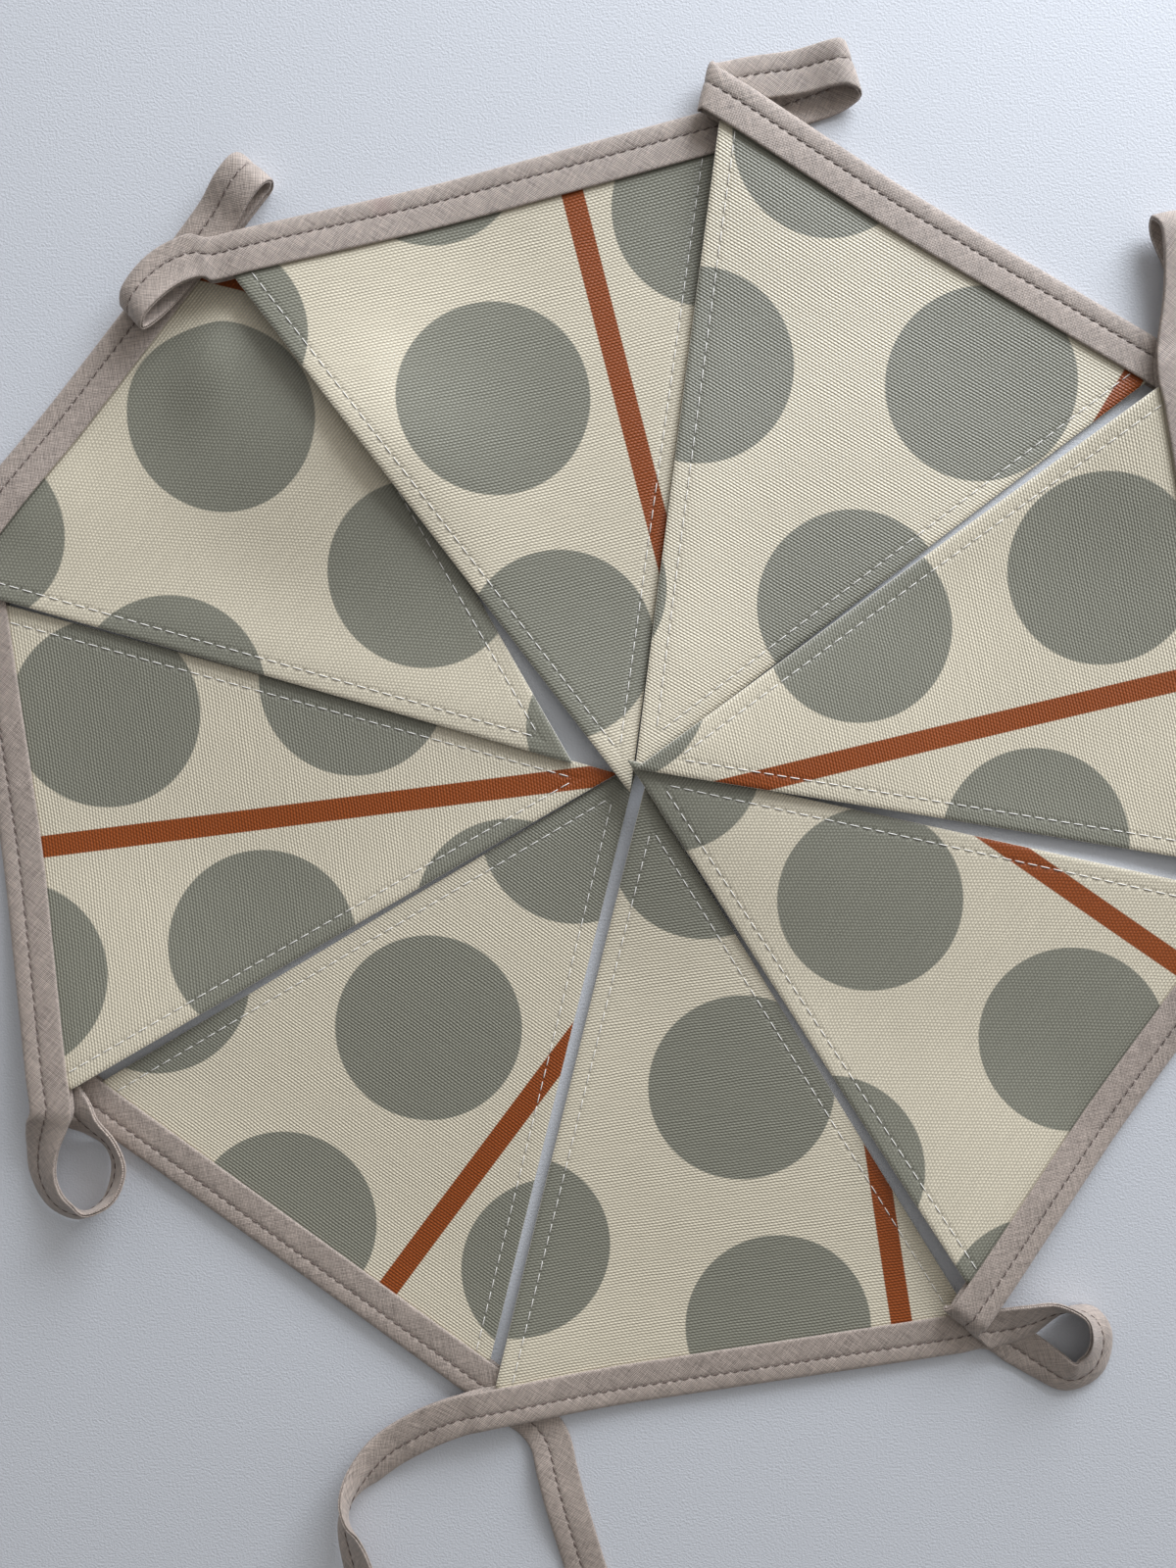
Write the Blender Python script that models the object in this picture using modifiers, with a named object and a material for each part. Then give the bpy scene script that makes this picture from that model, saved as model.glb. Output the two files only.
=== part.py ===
"""Fabric bunting: eight sewn pennants on one folded binding tape, laid as a pinwheel with the tips together.

The tape runs clockwise round the pinwheel, seen from above: a tie, pennants 7, 8, 1, 2, 3, 4, 5 and 6 with a
slack loop between each two, and a second tie. Its fold is on the outside and the pennants' top edges lie in it.
Lengths are in millimetres until the meshes are made.
"""

import math
from collections import namedtuple

import bmesh
import bpy
import numpy as np

MM = 0.001

# The middle of the whole piece, which becomes the origin
MIDDLE_X = 12.2
MIDDLE_Y = -78.8

# Pennants
FLAG_BASE = 144.0
FLAG_DROP = 172.0
FLAG_THICKNESS = 1.0
ROWS = 16
ROW_DEPTH = FLAG_DROP / (ROWS - 1)
TOP_HALF = FLAG_BASE / 2 * ROWS / (ROWS - 1)

# Tape, folded over the pennants' top edges
GAP = 0.45
TAPE_WIDTH = 12.5
TAPE_WALL = 0.5
NOSE = 0.3
SLOT_DEPTH = 11.9
SLOT_ON_FLAG = FLAG_THICKNESS + 2 * GAP
SLOT_IN_LOOP = 0.4
SLOT_STAYS = 1.5
SLOT_CLOSES = 4.0
TAPE_ON_FLAG = SLOT_ON_FLAG + 2 * TAPE_WALL
LOOP_STEP = 4.5
LEAST_SQUARENESS = 0.85

# How the stiff cloth lies over what is beneath it
LAY_SLOPE = 0.10
LAY_REACH = 10.0
LAY_GAP = 0.5
SMOOTH_PASSES = 3

Flag = namedtuple("Flag", "tip_x tip_y bearing right_in")
FLAGS = {
    1: Flag(-4.6, 6.2, 141.3, 4.0),
    2: Flag(12.3, -2.2, 104.8, 0),
    3: Flag(13.8, 4.1, 60.0, 0),
    4: Flag(13.8, 4.9, 13.4, 0),
    5: Flag(11.5, 7.3, -35.1, 3.0),
    6: Flag(16.7, -0.6, -81.1, 0),
    7: Flag(14.7, 6.2, -126.5, 0),
    8: Flag(8.7, 3.2, -172.7, 0),
}
STACK_FROM_BELOW = (7, 8, 1, 2, 3, 6, 5, 4)
TAPE_ORDER = (7, 8, 1, 2, 3, 4, 5, 6)

# Places where a pennant is held up, by the loops under its corners or by its own slack: across and down the
# pennant from the middle of its top edge, and the height there
Lift = namedtuple("Lift", "flag across down height")
LIFTS = (
    Lift(8, -76, -6, 8.8),
    Lift(1, -76, -6, 4.8),
    Lift(1, -44, -6, 4.4),
    Lift(1, 30, 60, 5.0),
    Lift(2, -76, -6, 7.8),
    Lift(3, -76, -6, 7.5),
    Lift(4, -76, -6, 6.4),
    Lift(4, 56, -6, 4.6),
    Lift(5, 76, -6, 8.2),
    Lift(6, 76, -6, 4.8),
)

# The tape's route between two pennants: the middle of its width, and the direction from its open edge to its
# fold as a bearing and a tilt in degrees
Turn = namedtuple("Turn", "x y z bearing tilt")
LOOPS = {
    (7, 8): (
        Turn(-156.6, -87.8, 1.0, -127, 0),
        Turn(-163.0, -84.0, 0.9, -120, 0),
        Turn(-164.4, -83.9, 2.2, -117, 0),
        Turn(-163.0, -85.2, 3.5, -116, 0),
        Turn(-157.8, -91.6, 4.1, -122, -2),
        Turn(-152.6, -97.4, 4.9, -131, -12),
        Turn(-147.8, -101.6, 5.8, -138, -40),
        Turn(-142.4, -106.6, 5.7, -154, -50),
        Turn(-139.8, -113.4, 5.8, -178, -52),
        Turn(-141.6, -121.0, 6.4, 160, -64),
        Turn(-146.6, -126.2, 7.0, -110, -84),
        Turn(-152.8, -127.6, 5.7, -103, -50),
        Turn(-159.4, -124.2, 4.7, -138, -38),
        Turn(-162.8, -116.6, 4.7, -168, -32),
        Turn(-162.3, -108.0, 5.6, -178, -24),
        Turn(-160.2, -101.4, 7.2, -176, -10),
    ),
    (8, 1): (
        Turn(-179.4, 66.0, 0.85, -173, 0),
        Turn(-181.0, 78.0, 0.95, -172, 0),
        Turn(-182.8, 88.0, 1.2, -170, 0),
        Turn(-186.8, 97.0, 4.0, -150, -28),
        Turn(-194.8, 102.4, 6.5, -108, -68),
        Turn(-204.8, 98.6, 6.6, -54, -76),
        Turn(-210.4, 87.5, 6.6, -4, -76),
        Turn(-210.4, 74.5, 6.6, 16, -75),
        Turn(-206.2, 65.0, 6.4, 40, -68),
        Turn(-200.2, 58.6, 6.0, 76, -48),
    ),
    (1, 2): (
        Turn(-96.6, 176.2, 1.8, 141, 0),
        Turn(-95.6, 177.4, 4.6, 140, 0),
        Turn(-97.4, 175.4, 7.3, 140, 0),
        Turn(-101.6, 170.4, 7.2, 140, 0),
        Turn(-106.2, 164.2, 5.0, 141, 0),
        Turn(-111.4, 157.6, 4.4, 142, 0),
        Turn(-118.0, 149.4, 4.4, 141, -3),
        Turn(-126.0, 139.6, 5.0, 138, -14),
        Turn(-130.6, 134.4, 7.2, 134, -24),
        Turn(-129.0, 138.4, 9.8, 133, -18),
        Turn(-121.6, 146.4, 9.2, 130, -6),
        Turn(-113.2, 150.8, 8.2, 118, 0),
    ),
    (2, 3): (
        Turn(48.0, 192.2, 1.0, 106, 0),
        Turn(60.0, 196.4, 0.8, 112, 0),
        Turn(71.4, 200.4, 1.6, 110, 4),
        Turn(75.5, 204.6, 4.0, 112, 6),
        Turn(72.0, 205.6, 6.4, 108, 4),
        Turn(60.0, 203.8, 4.2, 105, 0),
        Turn(47.0, 202.4, 3.5, 101, 0),
        Turn(37.0, 200.2, 3.9, 86, 0),
        Turn(33.8, 199.0, 5.8, 76, 0),
    ),
    (3, 4): (
        Turn(176.0, 117.2, 1.0, 56, 0),
        Turn(184.0, 112.6, 0.8, 44, 0),
        Turn(185.2, 112.6, 1.7, 36, 0),
        Turn(184.4, 114.0, 2.6, 30, 0),
        Turn(180.5, 128.0, 3.1, 14, 0),
        Turn(173.5, 149.0, 2.3, 10, 0),
        Turn(168.2, 160.6, 2.8, 10, 0),
        Turn(167.4, 163.8, 5.4, 12, 0),
        Turn(169.4, 159.6, 7.6, 13, 0),
        Turn(170.8, 142.0, 6.6, 13, 0),
    ),
    (4, 5): (
        Turn(207.6, -34.8, 4.8, 18, -10),
        Turn(212.6, -42.0, 5.8, 40, -46),
        Turn(220.0, -45.6, 6.6, 80, -74),
        Turn(229.5, -42.0, 6.8, 130, -76),
        Turn(235.4, -31.0, 6.8, 180, -76),
        Turn(233.0, -18.0, 6.8, 228, -76),
        Turn(225.6, -11.0, 5.6, 266, -52),
        Turn(218.4, -12.4, 2.6, 294, -16),
        Turn(212.4, -18.4, 1.0, 312, 0),
        Turn(206.2, -26.4, 1.0, 322, 0),
    ),
    (5, 6): (
        Turn(113.0, -158.6, 7.4, -36, 0),
        Turn(111.6, -160.6, 5.9, -38, 0),
        Turn(113.0, -161.6, 4.3, -48, 0),
        Turn(118.6, -163.4, 3.9, -66, -2),
        Turn(125.4, -162.2, 4.8, -72, -12),
        Turn(132.2, -159.6, 6.4, -74, -24),
        Turn(139.4, -157.0, 6.2, -75, -46),
        Turn(145.6, -156.8, 7.0, -80, -78),
        Turn(151.0, -160.4, 6.0, 30, -58),
        Turn(153.6, -167.4, 4.4, 14, -34),
        Turn(151.4, -175.2, 3.6, -38, -26),
        Turn(145.2, -178.6, 3.5, -92, -26),
        Turn(138.4, -175.2, 2.7, -118, -18),
        Turn(130.6, -170.4, 1.2, -104, -3),
    ),
}

# The two free ties, each from its pennant to its cut end
TIE_FROM_6 = (
    Turn(-40.5, -190.8, 5.0, -76, 0),
    Turn(-50.5, -195.4, 4.2, -66, 0),
    Turn(-60.8, -202.0, 3.6, -54, -8),
    Turn(-67.4, -208.6, 4.4, -44, -30),
    Turn(-71.0, -213.8, 6.4, -30, -62),
    Turn(-72.4, -218.8, 7.0, -150, -84),
    Turn(-72.6, -224.4, 5.8, -174, -54),
    Turn(-71.4, -231.6, 4.7, -168, -38),
    Turn(-69.4, -240.0, 4.0, -165, -30),
    Turn(-67.0, -252.0, 2.0, -167, -10),
    Turn(-66.0, -268.0, 0.9, -174, 0),
    Turn(-67.0, -300.0, 0.9, 174, 0),
    Turn(-73.0, -335.0, 0.8, 166, 0),
    Turn(-84.0, -368.0, 0.8, 162, 0),
)
TIE_FROM_7 = (
    Turn(-22.6, -189.4, 0.8, -129, 0),
    Turn(-16.4, -193.8, 0.8, -140, 0),
    Turn(-11.6, -200.0, 1.3, -158, 4),
    Turn(-9.4, -209.0, 1.9, -172, 10),
    Turn(-6.6, -220.0, 1.8, -168, 9),
    Turn(-1.4, -238.0, 0.9, -163, 0),
    Turn(6.0, -262.0, 0.9, -164, 0),
    Turn(13.0, -295.0, 0.8, -172, 0),
    Turn(14.0, -330.0, 0.8, 176, 0),
    Turn(9.0, -362.0, 0.8, 168, 0),
)

Material = namedtuple("Material", "name colour roughness")
COTTON = Material("printed_cotton", (0.62, 0.60, 0.50, 1.0), 0.72)
BINDING = Material("bias_binding", (0.40, 0.33, 0.29, 1.0), 0.62)


def direction(degrees, tilt=0.0):
    """Unit vector at a bearing from +X and a tilt above the table."""
    a = math.radians(degrees)
    b = math.radians(tilt)
    return np.array([math.cos(a) * math.cos(b), math.sin(a) * math.cos(b), math.sin(b)])


def unit(vector):
    return vector / np.linalg.norm(vector)


def corners(flag):
    """(tip, left, right) of a pennant in plan, its top corners being at the tape's open edge."""
    tip = np.array([flag.tip_x, flag.tip_y])
    middle = tip + direction(flag.bearing)[:2] * FLAG_DROP
    along = direction(flag.bearing - 90)[:2]
    return tip, middle - along * FLAG_BASE / 2, middle + along * (FLAG_BASE / 2 - flag.right_in)


def plan(flag, across, down):
    """The place in plan of a point across and down a pennant from the middle of its open-edge line."""
    tip, left, right = corners(flag)
    middle = (left + right) / 2
    half = (right - left) / 2
    return middle + half * across / (FLAG_BASE / 2) + (tip - middle) * down / FLAG_DROP


def across_down(flag, point):
    """The inverse of plan."""
    tip, left, right = corners(flag)
    middle = (left + right) / 2
    axes = np.column_stack([(right - left) / FLAG_BASE, (tip - middle) / FLAG_DROP])
    return np.linalg.solve(axes, point - middle)


def lattice():
    """(row, place, across, down) of each point of a pennant's triangular lattice, row 0 lying inside the tape."""
    for row in range(ROWS + 1):
        for place in range(ROWS - row + 1):
            across = (2 * place - (ROWS - row)) / ROWS * TOP_HALF
            yield row, place, across, (row - 1) * ROW_DEPTH


LATTICE = list(lattice())
INDEX = {(row, place): n for n, (row, place, _, _) in enumerate(LATTICE)}


def lattice_height(heights, across, down):
    """Height at a point of a pennant, and how far outside it the point lies."""
    row = (down + ROW_DEPTH) / ROW_DEPTH
    inside = min(max(row, 0.0), ROWS - 1e-6)
    half = TOP_HALF * (ROWS - inside) / ROWS
    near = min(max(across, -half), half)
    outside = math.hypot(across - near, (row - inside) * ROW_DEPTH)
    place = (near / TOP_HALF * ROWS + ROWS - inside) / 2
    r = int(inside)
    p = min(int(place), ROWS - r - 1)
    down_part = inside - r
    side_part = place - p
    if down_part + side_part <= 1:
        mix = ((r, p, 1 - down_part - side_part), (r, p + 1, side_part), (r + 1, p, down_part))
    else:
        mix = ((r, p + 1, 1 - down_part), (r + 1, p, 1 - side_part), (r + 1, p + 1, down_part + side_part - 1))
    return sum(heights[INDEX[key[:2]]] * key[2] for key in mix if key[:2] in INDEX), outside


def half_thickness(down):
    return TAPE_ON_FLAG / 2 if down < 0.5 * ROW_DEPTH else FLAG_THICKNESS / 2


def neighbours():
    near = [[] for _ in LATTICE]
    for (row, place), n in INDEX.items():
        for step in ((0, 1), (0, -1), (1, 0), (-1, 0), (1, -1), (-1, 1)):
            other = INDEX.get((row + step[0], place + step[1]))
            if other is not None:
                near[n].append(other)
    return near


def laid_heights():
    """Each pennant's lattice heights: it rests on the table, on those beneath it and on its lifts, and the
    stiff cloth comes down from each of these at LAY_SLOPE at the steepest."""
    near = neighbours()
    laid = {}
    for number in STACK_FROM_BELOW:
        flag = FLAGS[number]
        points = np.array([plan(flag, across, down) for _, _, across, down in LATTICE])
        need = np.array([half_thickness(down) for _, _, _, down in LATTICE])
        for other, heights in laid.items():
            for n, point in enumerate(points):
                across, down = across_down(FLAGS[other], point)
                height, outside = lattice_height(heights, across, down)
                if outside < LAY_REACH:
                    half = half_thickness(down) + half_thickness(LATTICE[n][3])
                    need[n] = max(need[n], height + half + LAY_GAP)
        for lift in LIFTS:
            if lift.flag == number:
                place = plan(flag, lift.across, lift.down)
                away = np.hypot(*(points - place).T)
                need = np.maximum(need, lift.height - LAY_SLOPE * away)
        away = np.linalg.norm(points[:, None] - points[None], axis=2)
        height = (need[None] - LAY_SLOPE * away).max(axis=1)
        for _ in range(SMOOTH_PASSES):
            mean = np.array([height[near[n]].mean() for n in range(len(height))])
            height = np.maximum(need, (height + mean) / 2)
        laid[number] = height
    return laid


Station = namedtuple("Station", "centre width slot")


def flag_stations(flag, heights):
    """The tape's stations along a pennant, from its left end to its right end."""
    stops = [(2 * n - ROWS) / ROWS * TOP_HALF for n in range(ROWS + 1)]
    found = []
    for across in stops:
        edge = plan(flag, across, 0)
        inner = plan(flag, across, -ROW_DEPTH)
        edge_z, _ = lattice_height(heights, across, 0)
        inner_z, _ = lattice_height(heights, across, -ROW_DEPTH)
        low = np.array([*edge, edge_z])
        high = np.array([*inner, inner_z])
        width = unit(high - low)
        found.append(Station(low + width * TAPE_WIDTH / 2, width, SLOT_ON_FLAG))
    return found


def smooth_between(before, rows, after):
    """Stations along a smooth curve through the rows of a loop or a tie. before and after are the two stations
    at each end, or none at a cut end."""
    knots = [(s.centre, s.width) for s in before]
    knots += [(np.array([r.x, r.y, r.z]), direction(r.bearing, r.tilt)) for r in rows]
    knots += [(s.centre, s.width) for s in after]
    first = len(before) - 1
    last = len(knots) - (2 if after else 1)
    values = np.array([np.concatenate(knot) for knot in knots])
    spans = np.linalg.norm(np.diff(values[:, :3], axis=0), axis=1)
    times = np.concatenate([[0], np.cumsum(np.sqrt(spans))])
    slopes = np.empty_like(values)
    for n in range(len(values)):
        a, b = max(n - 1, 0), min(n + 1, len(values) - 1)
        slopes[n] = (values[b] - values[a]) / (times[b] - times[a])
    found = []
    for n in range(first, last):
        span = times[n + 1] - times[n]
        steps = max(2, math.ceil(spans[n] / LOOP_STEP))
        for step in range(1, steps + 1):
            t = step / steps
            value = (
                (2 * t**3 - 3 * t**2 + 1) * values[n]
                + (t**3 - 2 * t**2 + t) * span * slopes[n]
                + (3 * t**2 - 2 * t**3) * values[n + 1]
                + (t**3 - t**2) * span * slopes[n + 1]
            )
            found.append(Station(value[:3], unit(value[3:]), SLOT_IN_LOOP))
    return found if not after else found[:-1]


def tape_stations(laid):
    """All of the tape's stations, from the end of one tie to the end of the other."""
    runs = {number: flag_stations(FLAGS[number], laid[number]) for number in TAPE_ORDER}
    first = runs[TAPE_ORDER[0]]
    found = smooth_between(first[1::-1], TIE_FROM_7, ())[::-1]
    for number, following in zip(TAPE_ORDER, TAPE_ORDER[1:] + (None,)):
        found += runs[number]
        if following is None:
            found += smooth_between(runs[number][-2:], TIE_FROM_6, ())
            break
        found += smooth_between(runs[number][-2:], LOOPS[number, following], runs[following][:2])
    return found


def slots_closed(stations):
    """The stations with the slot narrowing over SLOT_CLOSES, from SLOT_STAYS past each pennant's corner."""
    places = np.array([s.centre for s in stations])
    lengths = np.concatenate([[0], np.cumsum(np.linalg.norm(np.diff(places, axis=0), axis=1))])
    on_flag = lengths[[n for n, s in enumerate(stations) if s.slot == SLOT_ON_FLAG]]
    result = []
    for station, length in zip(stations, lengths):
        past = np.abs(on_flag - length).min() - SLOT_STAYS
        closed = min(1.0, max(0.0, past / SLOT_CLOSES))
        slot = SLOT_ON_FLAG + (SLOT_IN_LOOP - SLOT_ON_FLAG) * closed
        result.append(station._replace(slot=slot))
    return result


def tape_section(slot):
    """The folded tape's section: across from the open edge to the fold, and up from its middle."""
    inner = slot / 2
    outer = inner + TAPE_WALL
    return (
        (0, -outer),
        (TAPE_WIDTH - NOSE, -outer),
        (TAPE_WIDTH, 0),
        (TAPE_WIDTH - NOSE, outer),
        (0, outer),
        (0, inner),
        (SLOT_DEPTH, inner),
        (SLOT_DEPTH, -inner),
        (0, -inner),
    )


def tape_rings(stations):
    """The section's points at each station."""
    places = np.array([s.centre for s in stations])
    rings = []
    for n, station in enumerate(stations):
        ahead = unit(places[min(n + 1, len(places) - 1)] - places[max(n - 1, 0)])
        up = np.cross(ahead, station.width)
        width = station.width / max(np.linalg.norm(up), LEAST_SQUARENESS)
        up = unit(up)
        edge = station.centre - width * TAPE_WIDTH / 2
        rings.append([edge + width * a + up * b for a, b in tape_section(station.slot)])
    return rings


def material(spec):
    made = bpy.data.materials.new(spec.name)
    made.use_nodes = True
    shader = made.node_tree.nodes["Principled BSDF"]
    shader.inputs["Base Color"].default_value = spec.colour
    shader.inputs["Roughness"].default_value = spec.roughness
    made.diffuse_color = spec.colour
    return made


def add_object(name, mesh, collection, surface):
    mesh.materials.append(surface)
    mesh.shade_smooth()
    mesh.set_sharp_from_angle(angle=math.radians(35))
    made = bpy.data.objects.new(name, mesh)
    made.location = (-MIDDLE_X * MM, -MIDDLE_Y * MM, 0)
    collection.objects.link(made)
    return made


def make_flag(number, heights, collection, surface):
    """A pennant: its lattice as an open surface, thickened evenly to both sides."""
    flag = FLAGS[number]
    sheet = bmesh.new()
    points = []
    for (_, _, across, down), height in zip(LATTICE, heights):
        x, y = plan(flag, across, down)
        points.append(sheet.verts.new((x * MM, y * MM, height * MM)))
    for (row, place), n in INDEX.items():
        right = INDEX.get((row, place + 1))
        below = INDEX.get((row + 1, place))
        below_left = INDEX.get((row + 1, place - 1))
        if right is not None and below is not None:
            sheet.faces.new((points[n], points[below], points[right]))
        if below is not None and below_left is not None:
            sheet.faces.new((points[n], points[below_left], points[below]))
    mesh = bpy.data.meshes.new(f"flag_{number}")
    sheet.to_mesh(mesh)
    sheet.free()
    made = add_object(f"flag_{number}", mesh, collection, surface)
    thick = made.modifiers.new("Thickness", "SOLIDIFY")
    thick.thickness = FLAG_THICKNESS * MM
    thick.offset = 0
    return made


def make_tape(stations, collection, surface):
    """The binding tape: its section lofted from station to station, with both cut ends closed. Every face is split
    from the open edge to the fold, so that the two walls stay parallel where the tape twists."""
    loft = bmesh.new()
    rings = [[loft.verts.new(point * MM) for point in ring] for ring in tape_rings(stations)]
    across = [a for a, _ in tape_section(SLOT_IN_LOOP)]
    for ring, following in zip(rings, rings[1:]):
        for n in range(len(ring)):
            m = (n + 1) % len(ring)
            if across[n] < across[m]:
                loft.faces.new((ring[n], ring[m], following[m]))
                loft.faces.new((ring[n], following[m], following[n]))
            else:
                loft.faces.new((ring[n], ring[m], following[n]))
                loft.faces.new((ring[m], following[m], following[n]))
    loft.faces.new(rings[0])
    loft.faces.new(rings[-1][::-1])
    bmesh.ops.recalc_face_normals(loft, faces=loft.faces)
    mesh = bpy.data.meshes.new("binding_tape")
    loft.to_mesh(mesh)
    loft.free()
    return add_object("binding_tape", mesh, collection, surface)


def main():
    for old in list(bpy.data.objects):
        bpy.data.objects.remove(old)
    collection = bpy.data.collections.new("fabric_bunting")
    bpy.context.scene.collection.children.link(collection)
    cotton = material(COTTON)
    binding = material(BINDING)
    laid = laid_heights()
    for number in FLAGS:
        make_flag(number, laid[number], collection, cotton)
    make_tape(slots_closed(tape_stations(laid)), collection, binding)


main()
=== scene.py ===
"""The looks of a fabric bunting: eight printed pennants sewn into one folded binding tape, laid as a pinwheel.

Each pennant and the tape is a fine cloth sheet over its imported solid, and the topstitching is real thread.
The tables are in millimetres, measured from the middle of the pinwheel.
"""

import math
from collections import namedtuple

import bmesh
import bpy
import numpy as np
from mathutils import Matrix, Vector
from mathutils.bvhtree import BVHTree


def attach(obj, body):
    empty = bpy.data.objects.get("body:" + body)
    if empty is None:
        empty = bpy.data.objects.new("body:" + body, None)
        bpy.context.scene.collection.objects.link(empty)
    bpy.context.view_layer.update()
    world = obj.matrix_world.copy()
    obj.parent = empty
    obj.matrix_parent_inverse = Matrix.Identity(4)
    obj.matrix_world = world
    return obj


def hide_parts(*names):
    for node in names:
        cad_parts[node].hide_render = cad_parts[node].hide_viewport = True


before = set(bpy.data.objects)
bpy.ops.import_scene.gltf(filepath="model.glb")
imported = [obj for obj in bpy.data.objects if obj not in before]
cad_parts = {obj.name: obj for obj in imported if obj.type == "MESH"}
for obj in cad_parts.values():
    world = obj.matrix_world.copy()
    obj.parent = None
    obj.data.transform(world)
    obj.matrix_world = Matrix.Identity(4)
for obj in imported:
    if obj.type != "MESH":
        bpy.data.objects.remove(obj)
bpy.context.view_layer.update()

MM = 0.001
MIDDLE_X = 12.2
MIDDLE_Y = -78.8

# Pennants: two layers of ribbed cotton with raw edges, 144 mm wide at the tape and 172 mm long
FLAG_BASE = 144.0
FLAG_DROP = 172.0
FLAG_THICKNESS = 1.0
CAD_ROWS = 16
ROW_DEPTH = FLAG_DROP / (CAD_ROWS - 1)
TOP_HALF = FLAG_BASE / 2 * CAD_ROWS / (CAD_ROWS - 1)
FINE_ROWS = 96
FINE_DEPTH = ROW_DEPTH * CAD_ROWS / FINE_ROWS
SETTLING_PASSES = 14
CORNER_TRIM = 1.7
LAYER_NOTCH = 0.28
EDGE_SLANT = math.cos(math.atan2(FLAG_BASE / 2, FLAG_DROP))

# Sewing
SEAM_INSIDE = 4.7
FLAG_STITCH = 3.9
FLAG_STITCH_LENGTH = 3.2
TAPE_STITCH = 3.1
TAPE_STITCH_LENGTH = 2.2
THREAD_RADIUS = 0.16
STITCH_SKEW = 0.16
STITCH_SIDES = 6
STITCH_ARC = ((0, -1.1, 0.7), (0.2, 0.6, 0.95), (0.5, 1.0, 1.0), (0.8, 0.6, 0.95), (1, -1.1, 0.7))
FLAG_STITCH_RISE = 0.14
TAPE_STITCH_RISE = 0.12
SEAM_START = 1.2

# Tape
TAPE_WIDTH = 12.5
TAPE_WALL = 0.5
SLOT_DEPTH = 11.9
SLOT_ON_FLAG = 1.7
SLOT_IN_LOOP = 0.3
SLOT_STAYS = 1.5
SLOT_CLOSES = 5.0
TAPE_STEP = 1.6
LEAST_SQUARENESS = 0.85
SEAM_ON_TAPE = 7.1
WALL_GLOW = 2.0
CEILING_GLOW = 0.12
TABLE_SIZE = 8.0

Flag = namedtuple("Flag", "tip_x tip_y bearing right_in print_across print_down turned")
FLAGS = {
    1: Flag(-4.6, 6.2, 141.3, 4.0, 20, 8, 1),
    2: Flag(12.3, -2.2, 104.8, 0, 46, 60, 1),
    3: Flag(13.8, 4.1, 60.0, 0, -6, 24, -1),
    4: Flag(13.8, 4.9, 13.4, 0, 62, 12, 1),
    5: Flag(11.5, 7.3, -35.1, 3.0, 30, 52, -1),
    6: Flag(16.7, -0.6, -81.1, 0, -22, 70, 1),
    7: Flag(14.7, 6.2, -126.5, 0, 40, 34, -1),
    8: Flag(8.7, 3.2, -172.7, 0, 74, 50, 1),
}
TAPE_ORDER = (7, 8, 1, 2, 3, 4, 5, 6)

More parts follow.
